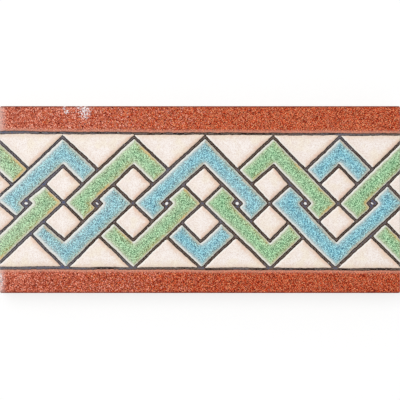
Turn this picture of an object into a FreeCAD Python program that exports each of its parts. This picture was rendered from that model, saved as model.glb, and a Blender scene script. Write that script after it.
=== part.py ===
import FreeCAD, Part
import os

import Sketcher

# Driving sizes in millimetres: the tile, its frieze of interlaced straps and its keyed back.
SIZES = {
    "tile_length": 150,
    "tile_width": 70,
    "tile_thickness": 10,
    "corner_radius": 1,
    "arris_radius": 1,
    "joint_gap": 4,
    "band_width": 9.8,
    "eye_size": 2.8,
    "line_width": 1.2,
    "glaze_relief": 0.5,
    "key_count": 4,
    "key_width": 6,
    "key_depth": 0.8,
    "key_spacing": 14,
    "key_margin": 12,
}

# The way the through strap leans at each crossing, from the left end: 1 is up to the right, -1 up to the left.
LEANS = (1, 1, 1, -1, -1, 1)

# What follows from the driving sizes. The frieze runs on across a mortar joint into the next tile, so its pitch
# shares out the length and one joint. A lane is the distance between parallel strap outlines, square to them.
DERIVED = {
    "repeats": len(LEANS),
    "pitch": "=(tile_length + joint_gap) / repeats",
    "half_frieze": "=tile_width / 2 - band_width",
    "diagonal": "=sqrt(pitch ^ 2 + half_frieze ^ 2)",
    "lean_angle": "=atan(half_frieze / pitch)",
    "lane": "=pitch * half_frieze / diagonal",
    "eye_share": "=eye_size / (2 * lane)",
}

# Half of the lines at a crossing whose through strap leans up to the right; half a turn gives the other half.
# Each line is two ends, from left to right: pitches across and half friezes up from the middle of the crossing,
# and how far the line runs on. At a tee it stops in the middle of the line that it meets, at a corner it closes it.
EYE = "sizes.eye_share"
HOOK = "(0.25 + sizes.eye_share / 2)"
INNER = "(0.5 + sizes.eye_share)"
TEE = "0"
CORNER = "sizes.line_width / 2"
THROUGH_LINES = (
    (("-0.5", "0", CORNER), ("0.5", "1", TEE)),
    ((f"-{EYE}", "0", CORNER), ("0.5", INNER, CORNER)),
)
CROSS_LINES = (
    (("-0.5", "0", CORNER), (f"{HOOK} - 0.5", f"-{HOOK}", TEE)),
    ((f"-{EYE}", "0", CORNER), ("0", f"-{EYE}", TEE)),
    (("-0.5", "1", TEE), ("0", "0.5", TEE)),
    (("-0.5", INNER, CORNER), (f"{HOOK} - 0.5", HOOK, TEE)),
)


def add_sheet(doc):
    """Writes each size into a named cell."""
    sheet = doc.addObject("Spreadsheet::Sheet", "sizes")
    for row, (name, value) in enumerate({**SIZES, **DERIVED}.items(), start=1):
        sheet.set(f"A{row}", name)
        sheet.set(f"B{row}", str(value))
        sheet.setAlias(f"B{row}", name)
    doc.recompute()


def add_sketch(body, name, height):
    """A level sketch, centred on the tile."""
    sketch = body.newObject("Sketcher::SketchObject", name)
    ground = [plane for plane in body.Origin.OriginFeatures if plane.Role == "XY_Plane"][0]
    sketch.AttachmentSupport = [(ground, "")]
    sketch.MapMode = "FlatFace"
    sketch.setExpression("AttachmentOffset.Base.z", height)
    return sketch


def add_rectangle(sketch, left, right, low, high):
    """Draws a rectangle along the sketch's axes, with each side tied to an expression."""
    corners = [FreeCAD.Vector(x, y, 0) for x, y in ((0, 0), (1, 0), (1, 1), (0, 1))]
    first = sketch.GeometryCount
    sketch.addGeometry([Part.LineSegment(corners[i], corners[(i + 1) % 4]) for i in range(4)])
    joins = [Sketcher.Constraint("Coincident", first + i, 2, first + (i + 1) % 4, 1) for i in range(4)]
    flats = [Sketcher.Constraint("Horizontal", first + i) for i in (0, 2)]
    uprights = [Sketcher.Constraint("Vertical", first + i) for i in (1, 3)]
    sketch.addConstraint(joins + flats + uprights)
    for kind, side, place in (("DistanceX", 0, left), ("DistanceY", 0, low),
                              ("DistanceX", 2, right), ("DistanceY", 2, high)):
        tie = sketch.addConstraint(Sketcher.Constraint(kind, -1, 1, first + side, 1, 1.0))
        sketch.setExpression(f"Constraints[{tie}]", place)


def add_pocket(body, sketch, name, depth):
    """Sinks a sketch into the body."""
    pocket = body.newObject("PartDesign::Pocket", name)
    pocket.Profile = sketch
    pocket.setExpression("Length", depth)
    return pocket


def edge_names(shape, wanted):
    """Names of the edges whose lowest and highest points pass a test."""
    return [f"Edge{i}" for i, edge in enumerate(shape.Edges, start=1)
            if wanted(edge.BoundBox.ZMin, edge.BoundBox.ZMax)]


def add_fillet(body, name, edges, radius):
    """Rounds edges of the body as it stands."""
    fillet = body.newObject("PartDesign::Fillet", name)
    fillet.Base = (fillet.BaseFeature, edges)
    fillet.setExpression("Radius", radius)
    body.Document.recompute()


def add_blank(body):
    """The plain tile, with rounded corners and a rounded arris about its face."""
    outline = add_sketch(body, "tile_outline", "0")
    add_rectangle(outline, "-sizes.tile_length / 2", "sizes.tile_length / 2",
                  "-sizes.tile_width / 2", "sizes.tile_width / 2")
    slab = body.newObject("PartDesign::Pad", "slab")
    slab.Profile = outline
    slab.setExpression("Length", "sizes.tile_thickness")
    body.Document.recompute()

    middle = body.Shape.BoundBox.Center.z
    uprights = edge_names(body.Shape, lambda lowest, highest: lowest < middle < highest)
    add_fillet(body, "rounded_corners", uprights, "sizes.corner_radius")
    rim = edge_names(body.Shape, lambda lowest, highest: lowest > middle)
    add_fillet(body, "rounded_arris", rim, "sizes.arris_radius")


def cut_keys(body):
    """Shallow closed grooves in the back, which key it into the adhesive."""
    sketch = add_sketch(body, "key_outline", "0")
    lowest = "(1 - sizes.key_count) / 2 * sizes.key_spacing"
    add_rectangle(sketch, "sizes.key_margin - sizes.tile_length / 2", "sizes.tile_length / 2 - sizes.key_margin",
                  f"{lowest} - sizes.key_width / 2", f"{lowest} + sizes.key_width / 2")
    key = add_pocket(body, sketch, "key", "sizes.key_depth")
    key.Reversed = True
    body.Document.recompute()
    keys = body.newObject("PartDesign::LinearPattern", "keys")
    keys.Originals = [key]
    keys.Direction = (sketch, ["V_Axis"])
    keys.setExpression("Length", "(sizes.key_count - 1) * sizes.key_spacing")
    keys.setExpression("Occurrences", "sizes.key_count")
    body.Tip = keys
    body.Document.recompute()


def cut_ruled_lines(body):
    """The two straight lines that part the frieze from the plain bands."""
    sketch = add_sketch(body, "ruled_lines", "sizes.tile_thickness")
    past_end = "sizes.tile_length / 2 + sizes.joint_gap"
    for line in ("-sizes.half_frieze", "sizes.half_frieze"):
        add_rectangle(sketch, f"-({past_end})", past_end,
                      f"{line} - sizes.line_width / 2", f"{line} + sizes.line_width / 2")
    add_pocket(body, sketch, "ruled_channels", "sizes.glaze_relief")


def along(across, up, rise):
    """How far a point lies along the diagonal through the tile's middle that rises (1) or falls (-1)."""
    return f"(({across}) * sizes.pitch ^ 2 + {rise} * ({up}) * sizes.half_frieze ^ 2) / sizes.diagonal"


def beside(across, up, rise):
    """How far a point lies above that diagonal, square to it."""
    return f"(({up}) - {rise} * ({across})) * sizes.lane"


def draw_crossing(sketch, number, rise):
    """Draws the lines of one crossing that follow the sketch's diagonal, with the half turn of each."""
    lean = LEANS[number]
    middle = f"{number} - (sizes.repeats - 1) / 2"
    for turn in (1, -1):
        for ends in THROUGH_LINES if rise == lean else CROSS_LINES:
            left, right = ends if turn == lean else reversed(ends)
            left_point = (f"{turn * lean} * ({left[0]}) + {middle}", f"{turn} * ({left[1]})", rise)
            right_point = (f"{turn * lean} * ({right[0]}) + {middle}", f"{turn} * ({right[1]})", rise)
            add_rectangle(sketch, f"{along(*left_point)} - {left[2]}", f"{along(*right_point)} + {right[2]}",
                          f"{beside(*left_point)} - sizes.line_width / 2",
                          f"{beside(*left_point)} + sizes.line_width / 2")


def cut_strap_lines(body):
    """The lines of all the crossings. Neighbours share their ends, so each sketch takes every second crossing."""
    for rise, name in ((1, "rising"), (-1, "falling")):
        for first, turn in ((0, "odd"), (1, "even")):
            sketch = add_sketch(body, f"{name}_lines_{turn}", "sizes.tile_thickness")
            sketch.setExpression("AttachmentOffset.Rotation.Angle", f"{rise} * sizes.lean_angle")
            for number in range(first, len(LEANS), 2):
                draw_crossing(sketch, number, rise)
            add_pocket(body, sketch, f"{name}_channels_{turn}", "sizes.glaze_relief")


def check(doc, body):
    """Stops when a feature failed or the tile isn't one sound solid."""
    for item in doc.Objects:
        if {"Invalid", "Error"} & set(item.State):
            raise RuntimeError(f"{item.Label} failed: {item.State}")
    if body.Shape.isNull() or not body.Shape.isValid() or len(body.Shape.Solids) != 1:
        raise RuntimeError(f"{body.Label} is not one sound solid")


os.makedirs("parts", exist_ok=True)
doc = FreeCAD.newDocument("tile")
add_sheet(doc)
tile = doc.addObject("PartDesign::Body", "tile")
tile.Label = "border_tile"
add_blank(tile)
cut_keys(tile)
cut_ruled_lines(tile)
cut_strap_lines(tile)
doc.recompute()
check(doc, tile)
tile.Shape.exportStep(f"parts/{tile.Label}.step")
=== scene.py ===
import math

import bpy
import numpy as np
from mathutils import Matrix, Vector, kdtree, noise
from mathutils.geometry import delaunay_2d_cdt


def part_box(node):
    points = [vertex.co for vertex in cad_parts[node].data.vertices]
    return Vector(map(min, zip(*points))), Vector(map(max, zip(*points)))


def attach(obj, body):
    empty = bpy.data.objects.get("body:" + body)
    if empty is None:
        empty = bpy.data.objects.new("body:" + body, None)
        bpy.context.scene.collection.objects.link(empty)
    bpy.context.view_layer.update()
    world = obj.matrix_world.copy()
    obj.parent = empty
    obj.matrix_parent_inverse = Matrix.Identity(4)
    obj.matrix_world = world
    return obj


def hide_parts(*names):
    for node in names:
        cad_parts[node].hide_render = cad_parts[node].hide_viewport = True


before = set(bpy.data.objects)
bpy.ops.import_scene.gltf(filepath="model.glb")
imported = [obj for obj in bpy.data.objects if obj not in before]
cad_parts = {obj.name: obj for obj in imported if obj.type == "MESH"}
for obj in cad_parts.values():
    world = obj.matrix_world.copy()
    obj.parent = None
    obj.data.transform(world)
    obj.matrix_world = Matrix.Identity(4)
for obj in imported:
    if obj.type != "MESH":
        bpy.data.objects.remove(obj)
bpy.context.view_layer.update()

# The tile's sizes are in millimetres until its mesh is written, the floor's and the lamp's in metres.
# The tile lies on its back, centred on the origin.
MM = 0.001
LOW, HIGH = (np.array(corner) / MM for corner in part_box("border_tile"))
LENGTH, WIDTH, FACE = HIGH - LOW
HALF_LENGTH, HALF_WIDTH = LENGTH / 2, WIDTH / 2

# The frieze as it was drawn by hand. The peaks of the straps stand one pitch apart, off by their drift.
# At each crossing the through strap leans up to the right (1) or to the left (-1).
LEANS = (1, 1, 1, -1, -1, 1)
REPEATS = len(LEANS)
JOINT = 4.0
PITCH = (LENGTH + JOINT) / REPEATS
UPPER_DRIFT = (0.0, -0.1, 0.9, 1.9, 1.7, 1.0, 0.2)
MIDDLE_DRIFT = (-0.7, -0.1, 0.6, 1.0, 0.4, 0.4, 0.2)
LOWER_DRIFT = (-0.6, 1.0, 0.7, 0.5, 0.5, -0.8, -0.4)
EYE_DRIFT = (-0.45, -0.3, -0.4, 0.5, 0.6, 0.0)
UPPER_PEAK = 23.55
MIDLINE = -1.4
LOWER_PEAK = -25.9
STRAP_SHARE = 0.436
HOOK_SHARE = (1 - STRAP_SHARE) / 2
LINE_WIDTH = 1.12

# The ruled lines: how high each stands at the left end, at its bend and at the right end, how wide they
# are, and the distances from the tile's middle over which the drawn lines give way to them.
RULE_BEND = -40.0
UPPER_RULE = (25.15, 25.0, 24.45)
LOWER_RULE = (-25.5, -25.82, -26.25)
RULE_WIDTH = 0.94
RULE_WIDTH_AT_LEFT = 1.25
RULED_FROM = (23.6, 24.2)

# The white dot in each eye: its half length, its half height and its slant in degrees.
EYE_DOTS = ((0.76, 0.5, 0), (0.82, 0.42, -35), (0.74, 0.6, 35), (0.72, 0.66, 0), (0.74, 0.56, -25),
            (0.68, 0.4, -35))
DOT_POINTS = 12

# Corners where the hand slipped off that lattice: their place in it, and how far off they are.
SLIPS = {
    (0.0, 0.0): (0.9, 1.2),
    (0.0, 0.56): (-0.2, -0.2),
    (0.28, -0.28): (1.4, 1.4),
    (0.28, 0.28): (-0.2, -0.2),
    (0.5, -0.5): (0.8, 0.8),
    (0.5, 0.5): (0.4, 0.4),
    (0.72, 0.28): (0.6, 0.15),
    (1.0, 0.0): (0.3, 0.3),
    (2.5, -0.5): (-0.3, -0.3),
    (2.72, -0.28): (-0.4, -0.4),
    (3.0, -0.56): (-0.5, -0.5),
    (4.0, -0.56): (0.0, -0.4),
    (4.0, 0.56): (0.9, 0.0),
    (4.5, -0.5): (0.0, -0.4),
    (5.72, -0.28): (-0.5, -0.1),
    (6.0, -0.56): (-0.45, -0.45),
    (6.0, 0.0): (-0.3, 0.3),
}

# How the hand wavered. A wave is its height, its size and its seed.
WANDER = 0.2
WANDER_SIZE = 9.0
WANDER_SEEDS = (3.1, 7.7)
RAGGED_WAVES = ((0.13, 1.4, 0.5), (0.1, 0.6, 20.5))
CELL_SEED = 1.37
DOT_SEED = 61.0

# How thin the glaze of the straps lies: most at the left end, and a little by chance.
THIN_AT_LEFT = 0.5
THIN_BY_CHANCE = 0.08
THIN_SEEDS = (1.7, 2.3, 0.4)

# The surface: dry lines lie below the swelling pools of glaze, and the arris is worn round.
# A pool's lee edges are those on its right, from which the way into it is FROM_LEE.
GLAZE_RELIEF = 0.5
SHOULDER_RISE = 0.34
SHOULDER_REACH = 0.2
DOME_REACH = 2.6
CROWN_MARGIN = 0.02
SKIN_WAVE = (0.012, 2.2, 4.4)
FROM_LEE = (-1.0, 0.0)
ARRIS = 0.5
CORNER = 0.7

# How finely the face is meshed, and how far its points keep from the edges of pools.
OUTLINE_STEP = 0.45
LINE_STEP = 0.4
RING_DEPTHS = (0.12, 0.28, 0.5, 0.85)
RING_SLACK = 0.93
POOL_STEP = 0.8
POOL_GAP = 0.24
CHANNEL_STEP = 0.45
CHANNEL_GAP = 0.3
ARRIS_ANGLES = (70, 50, 30, 10)
LEAST_CORNER = 0.2
ARC_STEP = 15
ROW_SHARE = 0.866
WELD = 1e-5

# The edges: how far the glaze runs down them, and the height and inset of each ring of points below.
GLAZE_RUN = 2.1
RUN_WAVES = ((0.8, 4.0, 2.2), (0.3, 1.1, 5.2))
GLAZE_LIP = 0.35
SIDE_LEVELS = (5.4, 3.6, 1.9, 0.7, 0.3, 0.08, 0.0)
SIDE_INSETS = (0.02, 0.1, 0.1, 0.1, 0.1, 0.1, 0.12, 0.28, 0.5)
SIDE_WAVE = 0.06
SIDE_WAVE_SIZE = 5.0
SIDE_SEED = 30
SIDE_SEED_STEP = 0.3

# The back: four shallow keys like the solid's, here with walls that lean a little.
KEY_COUNT = 4
KEY_SPACING = 14.0
KEY_WIDTH = 6.0
KEY_DEPTH = 0.8
KEY_MARGIN = 12.0
KEY_DRAFT = 0.35
KEY_CORNER = 0.8
KEY_STEP = 1.0
BACK_STEP = 4.0
BACK_MARGIN = 2.0
BACK_GAP = 0.7

# The texture map: how much of it the face's length fills, how high the back reaches, and the space between.
MAP_FILL = 0.98
MAP_TOP = 0.99
MAP_GAP = 2

# Scuffs that bared the white clay: centre and reach of each, across and up. Then how they fade and how deep
# and uneven they are.
SCUFFS = (
    ((-50.7, 34.5), (0.7, 1.2)),
    ((-49.9, 33.0), (0.7, 0.9)),
    ((-45.4, 33.9), (1.1, 1.1)),
    ((-43.2, 33.8), (1.9, 1.5)),
    ((-43.2, 32.0), (1.6, 1.4)),
    ((-75.0, -30.4), (1.1, 2.6)),
)
SCUFF_CORE = 1.25
SCUFF_FALL = 0.75
SCUFF_DEPTH = 0.16
SCUFF_EVEN = 0.6
SCUFF_GRAIN = 0.7
SCUFF_SEED = 9.9

# The stage. The floor lies a hair below the tile's back, so that the two don't share a plane.
FLOOR_GAP = 0.05 * MM
FLOOR_SIZE = 6.0
FLOOR_GREY = 0.32
FLOOR_GLOW = 0.7
SKY_LEVEL = 0.63
SKY_GLOW = 0.37
LAMP_PLACE = (-0.36, 0.32, 1.1)
LAMP_SIZE = 0.9
LAMP_POWER = 6.3

# The camera: lens and sensor, the share of the tile's length that it takes in, how far below the tile's
# middle it stands, and how far it sees in metres.
LENS = 200.0
SENSOR = 36.0
TAKEN_IN = 0.998
CAMERA_DROP = 0.15
CAMERA_REACH = 20.0

# The slots of the tile's materials, and the sockets of a node that mixes colours.
CLAY, LINE, RED, CREAM, BLUE, GREEN, WHITE = range(7)
MIX_SHARE, MIX_FIRST, MIX_SECOND = 0, 6, 7
MIX_RESULT = 2

# How large the specks in the glazes are.
STRAP_SPECK = 0.17
RED_SPECK = 0.15
SAND_SPECK = 0.27
SCATTER_SPECK = 0.6
CHIP = 0.36
CREAM_SPECK = 0.2

# Colours as they look on screen. The clay's run with a stain's noise, a dry line's with the distance from
# its edge in millimetres, a pool's with its depth from edge (0) to middle (1), and the reds with a random
# value for each speck.
CLAY_STAIN = ((0.3, (229, 211, 188)), (0.55, (241, 226, 206)), (0.75, (248, 237, 221)))
DRY_BROWN = ((0.0, (30, 19, 14)), (0.25, (62, 49, 42)), (0.52, (114, 99, 89)), (0.78, (84, 88, 112)))
DRY_SLATE = ((0.0, (36, 30, 31)), (0.25, (68, 63, 66)), (0.52, (118, 111, 113)), (0.78, (76, 88, 124)))
BRICK_RED = ((0.0, (84, 4, 0)), (0.44, (98, 8, 0)), (0.5, (214, 76, 36)), (0.78, (222, 84, 42)),
             (0.84, (255, 170, 122)))
SANDY_RED = ((0.0, (92, 8, 0)), (0.5, (178, 79, 53)), (0.84, (242, 140, 112)), (1.0, (255, 196, 174)))
CREAM_FADE = ((0.0, (240, 216, 196)), (0.25, (241, 224, 210)), (0.5, (247, 236, 228)),
              (0.9, (251, 243, 238)))
BLUE_FADE = ((0.0, (208, 210, 208)), (0.2, (182, 194, 193)), (0.35, (162, 193, 203)),
             (0.5, (145, 189, 205)), (0.7, (124, 185, 207)), (1.0, (92, 177, 207)))
GREEN_FADE = ((0.0, (214, 212, 196)), (0.2, (189, 196, 166)), (0.35, (168, 189, 151)),
              (0.5, (150, 188, 147)), (0.7, (136, 187, 142)), (1.0, (114, 183, 130)))

# The straps' pale and dark specks, and the ochre of their runs and threads.
BLUE_SPECKS = ((190, 250, 255), (0, 70, 96))
BLUE_OCHRES = ((168, 164, 134), (208, 186, 160))
GREEN_SPECKS = ((214, 255, 208), (8, 72, 10))
GREEN_OCHRES = ((184, 160, 94), (226, 180, 108))


def place(across, up):
    """Where a point of the frieze lies, from its pitches across and its half friezes up from the midline."""
    outer, reach = (UPPER_DRIFT, UPPER_PEAK - MIDLINE) if up > 0 else (LOWER_DRIFT, MIDLINE - LOWER_PEAK)
    peaks = range(REPEATS + 1)
    drift = np.interp(across, peaks, MIDDLE_DRIFT) * (1 - abs(up))
    drift += np.interp(across, peaks, outer) * abs(up)
    crossing = min(max(math.floor(across), 0), REPEATS - 1)
    off_eye = math.hypot(across - crossing - 0.5, up) / HOOK_SHARE
    drift += EYE_DRIFT[crossing] * max(1 - off_eye ** 2, 0)
    slip = SLIPS.get((round(across, 2), round(up, 2)), (0.0, 0.0))
    return (across - REPEATS / 2) * PITCH + drift + slip[0], MIDLINE + up * reach + slip[1]


def rule(up, x):
    """How far up a ruled line stands at a place along the tile."""
    heights = UPPER_RULE if up > 0 else LOWER_RULE
    return float(np.interp(x, (-HALF_LENGTH, RULE_BEND, HALF_LENGTH), heights))


def strap(peak, up):
    """The outline of the strap that bends at a peak, above (1) or below (-1) the midline."""
    def leg(side, crossing):
        if not 0 <= crossing < REPEATS:
            return []
        if LEANS[crossing] == -side * up:
            points = ((1, 0), (1 - HOOK_SHARE, -HOOK_SHARE), (0.5, STRAP_SHARE - 0.5),
                      (1 - STRAP_SHARE, 0))
        else:
            points = ((0.5, 0.5), (HOOK_SHARE, HOOK_SHARE))
        return [(peak + side * across, up * rise) for across, rise in points]

    corners = [(peak, up)] + leg(1, peak) + [(peak, up * (1 - STRAP_SHARE))] + leg(-1, peak - 1)[::-1]
    return [place(*corner) for corner in corners]


def triangle(gap, up):
    """The outline of the cream field between two peaks and the ruled line."""
    peak = UPPER_PEAK if up > 0 else LOWER_PEAK
    middle = (gap + 0.5 - REPEATS / 2) * PITCH
    reach = (rule(up, middle) - MIDLINE) / (peak - MIDLINE)
    corners = (gap + 1 - reach, up * reach), (gap + reach, up * reach), (gap + 0.5, up * 0.5)
    return [place(*corner) for corner in corners]


def diamond(peak, up):
    """The outline of the cream field inside a strap's bend."""
    top = (peak, up * (1 - STRAP_SHARE))
    right = (peak + HOOK_SHARE, up * HOOK_SHARE)
    left = (peak - HOOK_SHARE, up * HOOK_SHARE)
    return [place(*corner) for corner in (top, right, (peak, 0), left)]


def band(up):
    """The outline of a plain band, which runs on past the tile's edges. Its line widens to the left."""
    past_end = HALF_LENGTH + JOINT
    past_edge = up * (HALF_WIDTH + JOINT)
    widths = (-past_end, RULE_WIDTH_AT_LEFT), (RULE_BEND, RULE_WIDTH), (past_end, RULE_WIDTH)
    inner = [(x, rule(up, x) + up * (width - LINE_WIDTH)) for x, width in widths]
    return inner + [(past_end, past_edge), (-past_end, past_edge)]


def inset(corners, depth):
    """Moves each side of an outline inwards. The outline comes back running anticlockwise."""
    loop = np.array(corners)
    ahead = np.roll(loop, -1, axis=0)
    if np.sum(loop[:, 0] * ahead[:, 1] - ahead[:, 0] * loop[:, 1]) < 0:
        loop = loop[::-1]
    side = np.roll(loop, -1, axis=0) - loop
    side /= np.linalg.norm(side, axis=1)[:, None]
    inward = np.stack([-side[:, 1], side[:, 0]], axis=1)
    before = np.roll(inward, 1, axis=0)
    return loop + depth * (before + inward) / (1 + np.sum(before * inward, axis=1))[:, None]


def resample(loop, step):
    """Points at even steps round a closed outline."""
    closed = np.vstack([loop, loop[:1]])
    run = np.concatenate([[0], np.cumsum(np.linalg.norm(np.diff(closed, axis=0), axis=1))])
    at = np.linspace(0, run[-1], max(8, round(run[-1] / step)), endpoint=False)
    return np.stack([np.interp(at, run, closed[:, axis]) for axis in (0, 1)], axis=1)


def inward_normals(loop):
    """Unit vectors into an anticlockwise outline."""
    along = np.roll(loop, -1, axis=0) - np.roll(loop, 1, axis=0)
    along /= np.linalg.norm(along, axis=1)[:, None]
    return np.stack([-along[:, 1], along[:, 0]], axis=1)


def wavering(points, size, seed):
    """Smooth noise from -1 to 1 at each point, with swells of about the given size."""
    return np.array([noise.noise(Vector((x / size, y / size, seed))) for x, y in points])


def waves(points, layers, seed=0.0):
    """Layers of smooth noise added up. A layer is its height, its size and its own seed."""
    return sum(height * wavering(points, size, seed + own) for height, size, own in layers)


def drawn(loop, seed):
    """The outline as a hand drew it: softened corners, a drifting path and a ragged edge."""
    softened = 0.5 * loop + 0.25 * (np.roll(loop, 1, axis=0) + np.roll(loop, -1, axis=0))
    drift = np.stack([wavering(softened, WANDER_SIZE, own) for own in WANDER_SEEDS], axis=1)
    ragged = waves(softened, RAGGED_WAVES, seed)
    return softened + WANDER * drift + inward_normals(softened) * ragged[:, None]


def make_cells():
    """Every pool of glaze as (material, drawn outline, how thin the glaze lies)."""
    plans = []
    for up in (1, -1):
        plans.append((RED, band(up), 0.0))
        for peak in range(REPEATS + 1):
            chance = noise.noise(Vector((peak, up, 1)) * Vector(THIN_SEEDS))
            thin = THIN_AT_LEFT * (1 - peak / REPEATS) + THIN_BY_CHANCE * chance
            plans.append((BLUE if peak % 2 else GREEN, strap(peak, up), max(thin, 0.0)))
            plans.append((CREAM, diamond(peak, up), 0.0))
        for gap in range(REPEATS):
            plans.append((CREAM, triangle(gap, up), 0.0))
    cells = []
    for number, (glaze, corners, thin) in enumerate(plans):
        loop = resample(inset(corners, LINE_WIDTH / 2), LINE_STEP)
        cells.append((glaze, drawn(loop, number * CELL_SEED), thin))
    turn = np.linspace(0, 2 * math.pi, DOT_POINTS, endpoint=False)
    for crossing, (length, height, slant) in enumerate(EYE_DOTS):
        along = np.array([math.cos(math.radians(slant)), math.sin(math.radians(slant))])
        aside = np.array([-along[1], along[0]])
        dot = np.outer(length * np.cos(turn), along) + np.outer(height * np.sin(turn), aside)
        cells.append((WHITE, drawn(dot + place(crossing + 0.5, 0), crossing + DOT_SEED), 0.0))
    return cells


def rounded_rectangle(half_length, half_width, radius, step):
    """An outline with round corners, anticlockwise."""
    corners = []
    for start, (x, y) in zip((0, 90, 180, 270), ((1, 1), (-1, 1), (-1, -1), (1, -1))):
        for degrees in range(start, start + 90 + 1, ARC_STEP):
            angle = math.radians(degrees)
            corners.append((x * (half_length - radius) + radius * math.cos(angle),
                            y * (half_width - radius) + radius * math.sin(angle)))
    return resample(np.array(corners), step)


def inside(points, loop):
    """Which points lie inside an outline, by counting the sides to the right of them."""
    ahead = np.roll(loop, -1, axis=0)
    x, y = points[:, 0][:, None], points[:, 1][:, None]
    spans = (loop[:, 1] > y) != (ahead[:, 1] > y)
    rise = np.where(ahead[:, 1] == loop[:, 1], 1.0, ahead[:, 1] - loop[:, 1])
    crossing = loop[:, 0] + (y - loop[:, 1]) * (ahead[:, 0] - loop[:, 0]) / rise
    return np.sum(spans & (x < crossing), axis=1) % 2 == 1


def nearest(points, loop):
    """Distance from each point to an outline, and the direction from the outline to the point."""
    side = np.roll(loop, -1, axis=0) - loop
    offset = points[:, None, :] - loop[None, :, :]
    share = np.clip(np.sum(offset * side, axis=2) / np.sum(side * side, axis=1), 0, 1)
    away = offset - share[:, :, None] * side
    distance = np.linalg.norm(away, axis=2)
    best = np.argmin(distance, axis=1)
    rows = np.arange(len(points))
    return distance[rows, best], away[rows, best] / np.maximum(distance[rows, best], 1e-9)[:, None]


def to_edge(points):
    """Distance from each point of the face to the tile's outline."""
    reach = np.abs(points) - (np.array([HALF_LENGTH, HALF_WIDTH]) - CORNER)
    past = np.linalg.norm(np.maximum(reach, 0), axis=1) + np.minimum(np.max(reach, axis=1), 0)
    return CORNER - past


def grid(step):
    """A staggered grid of points over the face."""
    points = []
    rows = int(2 * HALF_WIDTH / (step * ROW_SHARE))
    columns = int(2 * HALF_LENGTH / step)
    for row in range(rows):
        for column in range(columns):
            points.append((-HALF_LENGTH + (column + 0.25 + 0.5 * (row % 2)) * step,
                           -HALF_WIDTH + (row + 0.5) * step * ROW_SHARE))
    return np.array(points)


def face_points(cells):
    """Points that shape the face: rings and a grid in each pool, a grid in the lines, rings at the arris."""
    kept = []
    pool, channel = grid(POOL_STEP), grid(CHANNEL_STEP)
    in_channel = np.ones(len(channel), bool)
    for _, loop, _ in cells:
        for depth in RING_DEPTHS:
            ring = loop + inward_normals(loop) * depth
            ring = ring[inside(ring, loop)]
            if len(ring):
                kept.append(ring[nearest(ring, loop)[0] > RING_SLACK * depth])
        low, high = loop.min(axis=0), loop.max(axis=0)
        near = pool[np.all((pool > low) & (pool < high), axis=1)]
        near = near[inside(near, loop)] if len(near) else near
        if len(near):
            kept.append(near[nearest(near, loop)[0] > RING_DEPTHS[-1] + POOL_GAP])
        spot = np.flatnonzero(np.all((channel > low - 1) & (channel < high + 1), axis=1) & in_channel)
        if len(spot):
            close = nearest(channel[spot], loop)[0] < CHANNEL_GAP
            in_channel[spot[close | inside(channel[spot], loop)]] = False
    kept.append(channel[in_channel])
    points = np.vstack(kept)
    points = points[to_edge(points) > ARRIS]
    rims = []
    for angle in ARRIS_ANGLES:
        bend = ARRIS * (1 - math.sin(math.radians(angle)))
        radius = max(CORNER - bend, LEAST_CORNER)
        rims.append(rounded_rectangle(HALF_LENGTH - bend, HALF_WIDTH - bend, radius, OUTLINE_STEP))
    return np.vstack([points] + rims)


def triangulate(outline, loops, points):
    """Triangles inside an outline that keep to the loops.

    Gives the points, the triangles, the loop that holds each (-1 for none) and the points' sources.
    """
    corners = [Vector(p) for p in np.vstack([outline] + loops + [points])]
    starts = np.cumsum([0, len(outline)] + [len(loop) for loop in loops])
    faces = [list(range(starts[i], starts[i + 1])) for i in range(len(loops) + 1)]
    made, _, triangles, sources, _, holders = delaunay_2d_cdt(corners, [], faces, 1, WELD)
    kept = [i for i, holder in enumerate(holders) if 0 in holder]
    holder_of = np.array([max(holders[i]) - 1 for i in kept])
    triangles = np.array([triangles[i] for i in kept])
    return np.array([tuple(p) for p in made]), triangles, holder_of, sources


def without_strays(points, triangles):
    """Drops the points that no triangle uses."""
    used = np.unique(triangles)
    renumber = np.full(len(points), -1)
    renumber[used] = np.arange(len(used))
    return points[used], renumber[triangles]


def rim_of(triangles):
    """The edges that only one triangle has, as one anticlockwise loop, and the triangle of each."""
    owner = {}
    for number, (a, b, c) in enumerate(triangles.tolist()):
        for edge in ((a, b), (b, c), (c, a)):
            owner[edge] = number
    onward = {a: (b, number) for (a, b), number in owner.items() if (b, a) not in owner}
    start = next(iter(onward))
    chain, owners = [start], []
    while True:
        step, number = onward[chain[-1]]
        owners.append(number)
        if step == start:
            return chain, owners
        chain.append(step)


def scuffed(points):
    """How badly each point of the face is scuffed, from 0 to 1."""
    worst = np.zeros(len(points))
    for centre, reach in SCUFFS:
        distance = np.linalg.norm((points - centre) / reach, axis=1)
        worst = np.maximum(worst, np.clip(SCUFF_CORE - SCUFF_FALL * distance, 0, 1))
    return worst


def measure_face(points, triangles, holder_of, cells):
    """Each point's depth from the nearest edge, how lee that edge is, thinness, and if it is in a pool."""
    depth = np.zeros(len(points))
    lee = np.zeros(len(points))
    thin = np.zeros(len(points))
    in_pool = np.zeros(len(points), bool)
    for number, (_, loop, thinness) in enumerate(cells):
        members = np.unique(triangles[holder_of == number])
        if len(members) == 0:
            continue
        depth[members], away = nearest(points[members], loop)
        lee[members] = away @ np.array(FROM_LEE)
        thin[members] = thinness
        in_pool[members] = True
    edges = np.vstack([loop for glaze, loop, _ in cells if glaze != WHITE])
    tree = kdtree.KDTree(len(edges))
    for number, (x, y) in enumerate(edges):
        tree.insert((x, y, 0), number)
    tree.balance()
    for number in np.flatnonzero(~in_pool):
        depth[number] = tree.find((*points[number], 0))[2]
    return depth, lee, thin, in_pool


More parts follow.
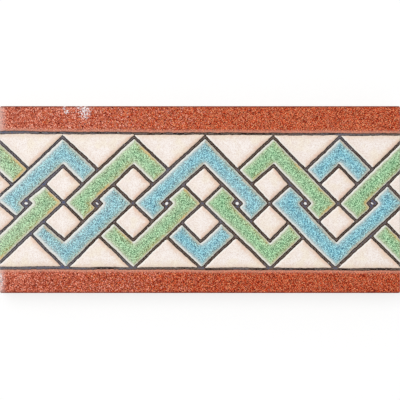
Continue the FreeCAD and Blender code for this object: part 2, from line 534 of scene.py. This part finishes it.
def face_height(points, depth, in_pool, scuff):
    """How high each point of the face stands."""
    shoulder = SHOULDER_RISE * (1 - np.exp(-depth / SHOULDER_REACH))
    bulge = np.clip(depth / DOME_REACH, 0, 1)
    dome = (GLAZE_RELIEF - SHOULDER_RISE - CROWN_MARGIN) * bulge * (2 - bulge)
    skin = waves(points, [SKIN_WAVE])
    into_arris = np.clip(ARRIS - to_edge(points), 0, ARRIS)
    drop = ARRIS - np.sqrt(np.maximum(ARRIS ** 2 - into_arris ** 2, 0))
    height = FACE - GLAZE_RELIEF + np.where(in_pool, shoulder + dome, 0.0) + skin
    chipped = SCUFF_EVEN + wavering(points, SCUFF_GRAIN, SCUFF_SEED)
    return height - drop - SCUFF_DEPTH * scuff * chipped


def make_face(cells):
    """The glazed face, rolled over the arris: points, triangles, materials and the points' measures."""
    outline = rounded_rectangle(HALF_LENGTH, HALF_WIDTH, CORNER, OUTLINE_STEP)
    loops = [loop for _, loop, _ in cells]
    points, triangles, holder_of, _ = triangulate(outline, loops, face_points(cells))
    points, triangles = without_strays(points, triangles)
    depth, lee, thin, in_pool = measure_face(points, triangles, holder_of, cells)
    scuff = scuffed(points)
    height = face_height(points, depth, in_pool, scuff)
    glaze_of = np.array([cell[0] for cell in cells] + [LINE])
    return np.column_stack([points, height]), triangles, glaze_of[holder_of], (depth, lee, thin, scuff)


def make_sides(face, rim, glaze_of_rim):
    """Rings of points down the edges from the face's rim to the back, with the quads between them."""
    plan = face[rim, :2]
    core = np.array([HALF_LENGTH, HALF_WIDTH]) - CORNER
    outward = plan - np.clip(plan, -core, core)
    outward /= np.linalg.norm(outward, axis=1)[:, None]
    count = len(rim)
    run_off = FACE - GLAZE_RUN + waves(plan, RUN_WAVES)
    levels = [run_off, run_off - GLAZE_LIP] + [np.full(count, level) for level in SIDE_LEVELS]
    rings = []
    for number, (level, depth) in enumerate(zip(levels, SIDE_INSETS)):
        uneven = 0.0
        if number > 0:
            uneven = SIDE_WAVE * (1 + wavering(plan, SIDE_WAVE_SIZE, SIDE_SEED + SIDE_SEED_STEP * number))
        rings.append(np.column_stack([plan - outward * np.reshape(depth + uneven, (-1, 1)), level]))
    quads, materials = [], []
    names = [np.array(rim)]
    names += [len(face) + ring * count + np.arange(count) for ring in range(len(rings))]
    for number, (upper, lower) in enumerate(zip(names, names[1:])):
        quads.append(np.column_stack([upper, lower, np.roll(lower, -1), np.roll(upper, -1)]))
        materials.append(glaze_of_rim if number == 0 else np.full(count, CLAY))
    return np.vstack(rings), np.vstack(quads), np.concatenate(materials), names[-1]


def make_back(ring, first_new, ring_names):
    """The flat back with its shallow keys, joined to the lowest ring of the sides."""
    loops, floors = [], []
    for number in range(KEY_COUNT):
        middle = (number - (KEY_COUNT - 1) / 2) * KEY_SPACING
        for draft in (0.0, KEY_DRAFT):
            half_length = HALF_LENGTH - KEY_MARGIN - draft
            loop = rounded_rectangle(half_length, KEY_WIDTH / 2 - draft, KEY_CORNER, KEY_STEP)
            if draft:
                floors.append(len(loops))
            loops.append(loop + np.array([0.0, middle]))
    points = grid(BACK_STEP)
    points = points[to_edge(points) > BACK_MARGIN]
    clear = np.min([nearest(points, loop)[0] for loop in loops], axis=0) > BACK_GAP
    made, triangles, holder_of, sources = triangulate(ring[:, :2], loops, points[clear])
    height = np.zeros(len(made))
    for floor in floors:
        height[np.unique(triangles[holder_of == floor])] = KEY_DEPTH
    names = np.arange(len(made)) + first_new
    for number, source in enumerate(sources):
        on_ring = [i for i in source if i < len(ring)]
        if on_ring:
            names[number] = ring_names[on_ring[0]]
    return np.column_stack([made, height]), names[triangles][:, ::-1]


def lay_out(mesh, face_count, side_count):
    """Lays the face, the edges and the back side by side in one texture map."""
    scale = MAP_FILL / (LENGTH + MAP_GAP)
    side_rows = MAP_GAP * scale + WIDTH * scale
    strip = (FACE + 1) * scale
    back_rows = side_rows + 3 * strip
    back_scale = (MAP_TOP - back_rows) / WIDTH
    layer = mesh.uv_layers.new(name="OFBake")
    points = np.zeros(len(mesh.vertices) * 3, np.float32)
    mesh.vertices.foreach_get("co", points)
    points = points.reshape(-1, 3) / MM
    for polygon in mesh.polygons:
        corners = points[list(polygon.vertices)]
        if polygon.index < face_count:
            spots = (corners[:, :2] + (HALF_LENGTH, HALF_WIDTH)) * scale + scale
        elif polygon.index < face_count + side_count:
            along_x = abs(polygon.normal.y) > abs(polygon.normal.x)
            row = (0 if polygon.normal.y < 0 else 1) if along_x else 2
            run = corners[:, 0] + HALF_LENGTH if along_x else corners[:, 1] + HALF_WIDTH
            shift = HALF_LENGTH + MAP_GAP if row == 2 and polygon.normal.x > 0 else 0.0
            rise = side_rows + row * strip + corners[:, 2] * scale
            spots = np.column_stack([(run + shift) * scale + scale, rise])
        else:
            spots = (corners[:, :2] + (HALF_LENGTH, HALF_WIDTH)) * back_scale + (scale, back_rows)
        for loop, spot in zip(polygon.loop_indices, spots):
            layer.data[loop].uv = spot


def make_tile(materials):
    """The whole tile as one closed mesh."""
    cells = make_cells()
    face, triangles, glazes, measures = make_face(cells)
    rim, owners = rim_of(triangles)
    rings, quads, side_materials, ring_names = make_sides(face, rim, glazes[owners])
    first_new = len(face) + len(rings)
    back, back_triangles = make_back(rings[-len(rim):], first_new, ring_names)
    points = np.vstack([face, rings, back])
    polygons = triangles.tolist() + quads.tolist() + back_triangles.tolist()
    used = np.zeros(len(points), bool)
    for group in (triangles, quads, back_triangles):
        used[np.unique(group)] = True
    renumber = np.cumsum(used) - 1
    polygons = [[int(renumber[corner]) for corner in polygon] for polygon in polygons]

    mesh = bpy.data.meshes.new("border_tile_fired")
    mesh.from_pydata((points[used] * MM).tolist(), [], polygons)
    for material in materials:
        mesh.materials.append(material)
    slots = np.concatenate([glazes, side_materials, np.full(len(back_triangles), CLAY)])
    mesh.polygons.foreach_set("material_index", slots.astype(np.int32))
    mesh.polygons.foreach_set("use_smooth", np.arange(len(polygons)) < len(triangles) + len(quads))
    for name, values in zip(("depth", "lee", "thin", "scuff"), measures):
        padded = np.concatenate([values, np.zeros(len(points) - len(values))])[used]
        mesh.attributes.new(name, "FLOAT", "POINT").data.foreach_set("value", padded.astype(np.float32))
    mesh.update()
    lay_out(mesh, len(triangles), len(quads))
    tile = bpy.data.objects.new("border_tile_fired", mesh)
    bpy.context.scene.collection.objects.link(tile)
    return tile


def linear(red, green, blue):
    """A colour given as it looks on screen, for a shader."""
    parts = [part / 255 for part in (red, green, blue)]
    return [p / 12.92 if p <= 0.04045 else ((p + 0.055) / 1.055) ** 2.4 for p in parts] + [1.0]


class Shading:
    """One material and the few kinds of node that the glazes are mixed from."""

    def __init__(self, name, specular):
        self.material = bpy.data.materials.new(name)
        self.material.use_nodes = True
        self.tree = self.material.node_tree
        self.shader = self.tree.nodes["Principled BSDF"]
        self.shader.inputs["Specular IOR Level"].default_value = specular
        where = self.tree.nodes.new("ShaderNodeTexCoord")
        in_millimetres = self.tree.nodes.new("ShaderNodeVectorMath")
        in_millimetres.operation = "SCALE"
        in_millimetres.inputs["Scale"].default_value = 1 / MM
        self.tree.links.new(where.outputs["Object"], in_millimetres.inputs[0])
        self.spot = in_millimetres.outputs[0]

    def put(self, socket, value):
        """Links a socket, or sets it where the value is a plain one."""
        if isinstance(value, bpy.types.NodeSocket):
            self.tree.links.new(value, socket)
        else:
            socket.default_value = value

    def measure(self, name):
        """One of the tile's own measures at each point."""
        node = self.tree.nodes.new("ShaderNodeAttribute")
        node.attribute_name = name
        return node.outputs["Fac"]

    def along(self, axis):
        """The place along an axis, in millimetres."""
        node = self.tree.nodes.new("ShaderNodeSeparateXYZ")
        self.put(node.inputs[0], self.spot)
        return node.outputs[axis]

    def grain(self, size, detail=2.0, rough=0.5, shift=0.0):
        """Noise from 0 to 1 whose swells have about the given size in millimetres."""
        node = self.tree.nodes.new("ShaderNodeTexNoise")
        node.noise_dimensions = "4D"
        self.put(node.inputs["Vector"], self.spot)
        self.put(node.inputs["W"], shift)
        self.put(node.inputs["Scale"], 1 / size)
        self.put(node.inputs["Detail"], detail)
        self.put(node.inputs["Roughness"], rough)
        return node.outputs["Fac"]

    def grit(self, size, channel):
        """A random value from 0 to 1 for each grain of about the given size in millimetres."""
        node = self.tree.nodes.new("ShaderNodeTexVoronoi")
        self.put(node.inputs["Vector"], self.spot)
        self.put(node.inputs["Scale"], 1 / size)
        parts = self.tree.nodes.new("ShaderNodeSeparateColor")
        self.put(parts.inputs[0], node.outputs["Color"])
        return parts.outputs[channel]

    def reckon(self, operation, *values):
        """Arithmetic on one or two values."""
        node = self.tree.nodes.new("ShaderNodeMath")
        node.operation = operation
        for socket, value in zip(node.inputs, values):
            self.put(socket, value)
        return node.outputs[0]

    def plus(self, first, second):
        """Two values added up."""
        return self.reckon("ADD", first, second)

    def times(self, first, second):
        """Two values multiplied."""
        return self.reckon("MULTIPLY", first, second)

    def fit(self, value, low, high, to_low=0.0, to_high=1.0):
        """Maps a range of values smoothly onto another, and stops at its ends."""
        node = self.tree.nodes.new("ShaderNodeMapRange")
        node.interpolation_type = "SMOOTHSTEP"
        for socket, part in zip(node.inputs, (value, low, high, to_low, to_high)):
            self.put(socket, part)
        return node.outputs[0]

    def ramp(self, value, stops):
        """A colour read from stops of (place, colour)."""
        node = self.tree.nodes.new("ShaderNodeValToRGB")
        line = node.color_ramp.elements
        while len(line) < len(stops):
            line.new(0.5)
        for element, (at, colour) in zip(line, stops):
            element.position = at
            element.color = linear(*colour)
        self.put(node.inputs[0], value)
        return node.outputs["Color"]

    def mix(self, share, first, second):
        """One colour laid over another."""
        node = self.tree.nodes.new("ShaderNodeMix")
        node.data_type = "RGBA"
        self.put(node.inputs[MIX_SHARE], share)
        for number, part in ((MIX_FIRST, first), (MIX_SECOND, second)):
            self.put(node.inputs[number], linear(*part) if isinstance(part, tuple) else part)
        return node.outputs[MIX_RESULT]

    def finish(self, colour, roughness, bump, height):
        """Joins the colour, the roughness and a bump of the given height in millimetres to the shader."""
        self.put(self.shader.inputs["Base Color"], colour)
        self.put(self.shader.inputs["Roughness"], roughness)
        node = self.tree.nodes.new("ShaderNodeBump")
        self.put(node.inputs["Strength"], 1.0)
        self.put(node.inputs["Distance"], height * MM)
        self.put(node.inputs["Height"], bump)
        self.put(self.shader.inputs["Normal"], node.outputs[0])
        return self.material


def clay_material():
    """Pale unglazed body: sandy, pitted and a little stained."""
    shading = Shading("pale_clay", 0.25)
    stain = shading.grain(9.0, 3.0, 0.6)
    colour = shading.ramp(stain, CLAY_STAIN)
    sand = shading.fit(shading.grain(0.5, 2.0, 0.7), 0.55, 0.72)
    colour = shading.mix(shading.times(sand, 0.35), colour, (176, 150, 124))
    roughness = shading.fit(stain, 0.3, 0.7, 0.95, 0.8)
    return shading.finish(colour, roughness, shading.grain(0.7, 4.0, 0.7), 0.12)


def line_material():
    """Dry dark line: brown-black at its edges, greyer along its middle and slate where it pooled."""
    shading = Shading("dry_line", 0.1)
    uneven = shading.fit(shading.grain(0.5, 1.0), 0.3, 0.7, -0.15, 0.15)
    depth = shading.plus(shading.measure("depth"), uneven)
    across = shading.reckon("ABSOLUTE", shading.along("Y"))
    depth = shading.plus(depth, shading.fit(across, *RULED_FROM, 0.0, 0.12))
    brown = shading.ramp(depth, DRY_BROWN)
    slate = shading.ramp(depth, DRY_SLATE)
    leftness = shading.fit(shading.along("X"), -0.3 * HALF_LENGTH, -HALF_LENGTH, 0.0, 0.3)
    share = shading.fit(shading.plus(shading.grain(14.0), leftness), 0.5, 0.74)
    colour = shading.mix(share, brown, slate)
    fleck = shading.fit(shading.grain(0.7, 1.0, 0.5, 8.0), 0.72, 0.78)
    colour = shading.mix(fleck, colour, (206, 200, 196))
    roughness = shading.fit(share, 0.0, 1.0, 0.92, 0.75)
    return shading.finish(colour, roughness, shading.grain(0.45, 3.0, 0.7), 0.1)


def red_specks(shading):
    """Brick-red specks that give way to paler, sandier ones towards the left end."""
    leftness = shading.fit(shading.along("X"), 0.2 * HALF_LENGTH, -HALF_LENGTH)
    cloud = shading.fit(shading.grain(1.6), 0.3, 0.7, -0.03, 0.03)
    lower = shading.fit(shading.along("Y"), HALF_WIDTH, -HALF_WIDTH, 0.0, -0.04)
    shift = shading.plus(cloud, lower)
    brick = shading.ramp(shading.plus(shading.grit(RED_SPECK, 0), shift), BRICK_RED)
    sandy = shading.ramp(shading.plus(shading.grit(SAND_SPECK, 2), shift), SANDY_RED)
    scatter = shading.plus(leftness, shading.fit(shading.grit(SCATTER_SPECK, 1), 0.0, 1.0, -0.5, 0.5))
    return shading.mix(shading.fit(scatter, 0.42, 0.58), brick, sandy)


def red_edges(shading, colour):
    """Pales the red along the ruled line and at the left end, and darkens it on the arris. The pale end is
    partly thin glaze and partly painted highlight; the dark arris is painted shade.
    """
    edge = shading.fit(shading.measure("depth"), 1.5, 0.1, 0.0, 0.6)
    colour = shading.mix(edge, colour, (222, 162, 140))
    # The pale left end: partly thin glaze, partly painted highlight on the rounded end.
    end = shading.fit(shading.along("X"), 3.0 - HALF_LENGTH, -HALF_LENGTH)
    colour = shading.mix(shading.times(end, 0.5), colour, (236, 204, 194))
    # Painted shade along the rounded arris of the long edges.
    across = shading.reckon("ABSOLUTE", shading.along("Y"))
    arris = shading.fit(across, HALF_WIDTH - 0.9, HALF_WIDTH - 0.1, 0.0, 0.6)
    return shading.mix(arris, colour, (104, 40, 26))


def red_material():
    """Speckled brick-red glaze, worn to the clay where it is scuffed."""
    shading = Shading("red_glaze", 0.06)
    colour = red_edges(shading, red_specks(shading))
    chance = shading.fit(shading.grit(CHIP, 1), 0.0, 1.0, -0.6, 0.6)
    bare = shading.fit(shading.plus(shading.measure("scuff"), chance), 0.55, 1.0)
    chips = shading.fit(shading.grit(CHIP, 2), 0.72, 0.8, 0.0, 0.6)
    colour = shading.mix(bare, colour, shading.mix(chips, (246, 232, 232), (120, 84, 80)))
    satin = shading.fit(shading.grain(1.1, 2.0, 0.6, 5.0), 0.3, 0.7, 0.42, 0.58)
    roughness = shading.reckon("MAXIMUM", satin, shading.fit(bare, 0.0, 1.0, 0.4, 0.9))
    return shading.finish(colour, roughness, shading.grain(0.5, 1.0), 0.04)


def strap_run(shading, colour, depth, run_colour):
    """An ochre tinge that runs in from the lee edges, most where the glaze is thin."""
    run = shading.times(shading.fit(shading.measure("lee"), 0.0, 0.7), shading.fit(depth, 3.8, 0.6))
    run = shading.times(run, shading.fit(shading.grain(5.0), 0.35, 0.65, 0.3, 0.85))
    run = shading.times(run, shading.fit(shading.measure("thin"), 0.1, 0.5, 1.0, 1.7))
    return shading.mix(run, colour, run_colour)


def strap_specks(shading, colour, depth, pale, dark):
    """Pale and dark specks, strongest where the glaze is deep."""
    cloud = shading.fit(shading.grain(1.2), 0.3, 0.7, -0.04, 0.04)
    grain = shading.plus(shading.grit(STRAP_SPECK, 0), cloud)
    strength = shading.fit(depth, 0.2, 1.8, 0.22, 0.78)
    colour = shading.mix(shading.times(shading.fit(grain, 0.5, 0.62), strength), colour, pale)
    return shading.mix(shading.times(shading.fit(grain, 0.5, 0.38), strength), colour, dark)


def strap_rim_and_painted_highlight(shading, colour):
    """A whitish rim of thin glaze, with painted highlight that makes it wider and whiter on the edges away
    from the lee side; widest also where the glaze is thin.
    """
    lee = shading.measure("lee")
    # The rim reaches further and is whiter on the edges away from the lee side: painted highlight.
    wider = shading.fit(shading.measure("thin"), 0.2, 0.5, 0.0, 0.45)
    wider = shading.times(wider, shading.fit(lee, 0.5, -0.5, 0.4, 1.0))
    reach = shading.plus(shading.fit(lee, 0.6, -0.6, 0.6, 0.88), wider)
    rim = shading.fit(shading.measure("depth"), reach, 0.2)
    rim = shading.times(rim, shading.fit(shading.grain(1.2, 1.0, 0.5, 6.0), 0.3, 0.7, 0.5, 1.0))
    rim = shading.times(rim, shading.fit(lee, 0.7, -0.2, 0.6, 1.0))
    return shading.mix(rim, colour, (243, 242, 236))


def strap_thread(shading, colour, depth, thread_colour):
    """Broken ochre threads along the lee edges."""
    thread = shading.times(shading.fit(shading.measure("lee"), 0.2, 0.65), shading.fit(depth, 1.7, 0.9))
    thread = shading.times(thread, shading.fit(shading.grain(6.0, 1.0, 0.5, 4.0), 0.45, 0.65, 0.0, 0.5))
    thread = shading.times(thread, shading.fit(shading.measure("thin"), 0.1, 0.5, 1.0, 1.3))
    return shading.mix(thread, colour, thread_colour)


def strap_material(name, fade, specks, ochres):
    """Mottled strap glaze: deep in the middle of its pool, thinning to white at its edge, with painted shade
    on its lee edges and painted highlight on the others.
    """
    shading = Shading(name, 0.15)
    uneven = shading.fit(shading.grain(0.6, 1.0), 0.25, 0.75, -0.2, 0.2)
    depth = shading.plus(shading.measure("depth"), uneven)
    # Deeper colour on the lee side and paler on the other: partly thicker and thinner glaze, partly painted
    # shade and highlight.
    depth = shading.plus(depth, shading.fit(shading.measure("lee"), -0.7, 0.7, -0.3, 0.4))
    thick = shading.fit(shading.measure("thin"), -0.1, 0.6, 0.33, 0.1)
    swell = shading.fit(shading.grain(8.0, 1.0, 0.5, 2.0), 0.35, 0.65, 0.82, 1.25)
    colour = shading.ramp(shading.times(depth, shading.times(thick, swell)), fade)
    colour = strap_run(shading, colour, depth, ochres[0])
    colour = strap_specks(shading, colour, depth, *specks)
    colour = strap_rim_and_painted_highlight(shading, colour)
    colour = strap_thread(shading, colour, depth, ochres[1])
    roughness = shading.fit(depth, 0.2, 2.0, 0.5, 0.32)
    return shading.finish(colour, roughness, shading.grain(0.7, 1.0), 0.04)


def cream_material():
    """Cream glaze, warmer towards its edges and faintly clouded with yellow, with painted sheen and painted
    highlight near the edges away from the lee side.
    """
    shading = Shading("cream_glaze", 0.15)
    lee = shading.measure("lee")
    uneven = shading.fit(shading.grain(0.8, 1.0), 0.25, 0.75, -0.45, 0.45)
    depth = shading.plus(shading.measure("depth"), uneven)
    colour = shading.ramp(shading.times(depth, 0.3), CREAM_FADE)
    cloud = shading.fit(shading.grain(4.0, 1.0, 0.5, 3.0), 0.45, 0.7, 0.0, 0.5)
    colour = shading.mix(cloud, colour, (246, 234, 208))
    # Painted sheen over the parts near the edges away from the lee side.
    painted_sheen = shading.times(shading.fit(lee, -0.1, -0.6), shading.fit(depth, 3.0, 0.3, 0.0, 0.6))
    colour = shading.mix(painted_sheen, colour, (248, 240, 236))
    run = shading.times(shading.fit(lee, 0.0, 0.9), shading.fit(depth, 2.0, 0.2))
    run = shading.times(run, shading.fit(shading.grain(4.0), 0.35, 0.65, 0.2, 0.6))
    colour = shading.mix(run, colour, (234, 186, 160))
    specks = shading.fit(shading.grit(CREAM_SPECK, 0), 0.5, 0.8, 0.0, 0.6)
    colour = shading.mix(specks, colour, (220, 198, 184))
    # A white rim on the edges away from the lee side: partly thin glaze, partly painted highlight.
    rim = shading.times(shading.fit(shading.measure("depth"), 0.7, 0.2), shading.fit(lee, 0.2, -0.6))
    colour = shading.mix(rim, colour, (250, 246, 240))
    roughness = shading.fit(depth, 0.2, 2.0, 0.45, 0.3)
    return shading.finish(colour, roughness, shading.grain(0.7, 1.0), 0.03)


def white_material():
    """The white dot of glaze in each eye."""
    shading = Shading("white_glaze", 0.4)
    depth = shading.measure("depth")
    colour = shading.ramp(depth, ((0.0, (206, 204, 208)), (0.3, (246, 244, 243))))
    roughness = shading.fit(depth, 0.0, 0.3, 0.45, 0.28)
    return shading.finish(colour, roughness, shading.grain(0.6), 0.03)


def make_floor():
    """A white floor that shows as the backdrop and keeps the tile's shadow."""
    bpy.ops.mesh.primitive_plane_add(size=FLOOR_SIZE, location=(0.0, 0.0, -FLOOR_GAP))
    floor = bpy.context.object
    floor.name = "floor"
    material = bpy.data.materials.new("floor_white")
    material.use_nodes = True
    tree = material.node_tree
    shader = tree.nodes["Principled BSDF"]
    shader.inputs["Base Color"].default_value = (FLOOR_GREY, FLOOR_GREY, FLOOR_GREY, 1)
    shader.inputs["Roughness"].default_value = 0.9
    shader.inputs["Specular IOR Level"].default_value = 0.0
    shader.inputs["Emission Color"].default_value = (1, 1, 1, 1)
    tree.links.new(seen_directly(tree, FLOOR_GLOW), shader.inputs["Emission Strength"])
    floor.data.materials.append(material)


def seen_directly(tree, strength):
    """The given strength for rays from the camera, by mirror or through glass, and none for the rest."""
    path = tree.nodes.new("ShaderNodeLightPath")
    total = path.outputs["Is Camera Ray"]
    for name in ("Is Glossy Ray", "Is Transmission Ray"):
        node = tree.nodes.new("ShaderNodeMath")
        node.operation = "ADD"
        node.use_clamp = True
        tree.links.new(total, node.inputs[0])
        tree.links.new(path.outputs[name], node.inputs[1])
        total = node.outputs[0]
    node = tree.nodes.new("ShaderNodeMath")
    node.operation = "MULTIPLY"
    tree.links.new(total, node.inputs[0])
    node.inputs[1].default_value = strength
    return node.outputs[0]


def make_light():
    """A soft sky all round and a broad lamp from the upper left."""
    world = bpy.data.worlds.new("studio")
    bpy.context.scene.world = world
    world.use_nodes = True
    tree = world.node_tree
    sky = tree.nodes["Background"]
    sky.inputs["Color"].default_value = (1, 1, 1, 1)
    level = tree.nodes.new("ShaderNodeMath")
    level.operation = "ADD"
    tree.links.new(seen_directly(tree, SKY_GLOW), level.inputs[0])
    level.inputs[1].default_value = SKY_LEVEL
    tree.links.new(level.outputs[0], sky.inputs["Strength"])
    lamp = bpy.data.lights.new("softbox", "AREA")
    lamp.shape = "DISK"
    lamp.size = LAMP_SIZE
    lamp.energy = LAMP_POWER
    holder = bpy.data.objects.new("softbox", lamp)
    holder.location = LAMP_PLACE
    holder.rotation_euler = (-holder.location).to_track_quat("-Z", "Y").to_euler()
    bpy.context.scene.collection.objects.link(holder)


def make_camera():
    """Straight above the tile, which spans the frame from end to end."""
    camera = bpy.data.cameras.new("camera")
    camera.lens = LENS
    camera.sensor_width = SENSOR
    camera.clip_end = CAMERA_REACH
    holder = bpy.data.objects.new("camera", camera)
    rise = FACE + TAKEN_IN * LENGTH * LENS / SENSOR
    holder.location = (0.0, -CAMERA_DROP * MM, rise * MM)
    bpy.context.scene.collection.objects.link(holder)
    bpy.context.scene.camera = holder


tile = make_tile([
    clay_material(),
    line_material(),
    red_material(),
    cream_material(),
    strap_material("blue_glaze", BLUE_FADE, BLUE_SPECKS, BLUE_OCHRES),
    strap_material("green_glaze", GREEN_FADE, GREEN_SPECKS, GREEN_OCHRES),
    white_material(),
])
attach(tile, "root")
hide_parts("border_tile")
make_floor()
make_light()
make_camera()
bpy.context.scene.view_settings.view_transform = "Standard"
